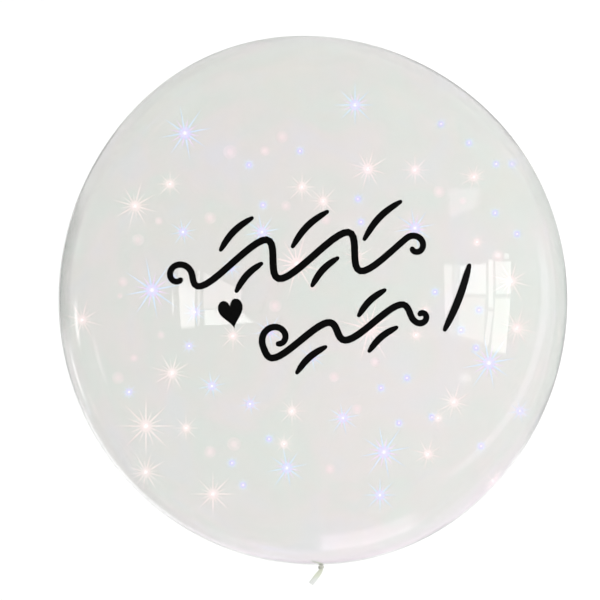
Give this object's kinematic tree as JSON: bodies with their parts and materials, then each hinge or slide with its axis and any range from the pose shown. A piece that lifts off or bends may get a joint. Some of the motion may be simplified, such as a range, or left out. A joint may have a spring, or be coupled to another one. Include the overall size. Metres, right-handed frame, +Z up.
{
  "type": "clear bubble balloon",
  "caption": "Sealed clear film balloon, round with a short tied neck, lying on its back, with black vinyl scrolls and a heart on its front.",
  "frame": {"origin": "middle of the small flat spot on the underside, on the surface that the balloon lies on", "axes": "+Z up through the decorated front, +Y along the balloon's axis towards the crown, -Y towards the tied neck"},
  "size_m": [0.5, 0.5405, 0.4981],
  "materials": {
    "clear_film": "clear thin plastic film, glossy, very slightly iridescent",
    "tie_thread": "matte wound thread",
    "black_vinyl": "satin self-adhesive vinyl"
  },
  "bodies": {
    "root": {"balloon_film": "clear_film", "neck_tie": "tie_thread", "heart_decal": "black_vinyl", "scroll_upper": "black_vinyl", "scroll_lower": "black_vinyl", "upper_dash_1": "black_vinyl", "upper_dash_2": "black_vinyl", "upper_dash_3": "black_vinyl", "upper_dash_4": "black_vinyl", "upper_dash_5": "black_vinyl", "lower_dash_1": "black_vinyl", "lower_dash_2": "black_vinyl", "lower_dash_3": "black_vinyl", "slanted_bar": "black_vinyl"}
  },
  "joints": []
}
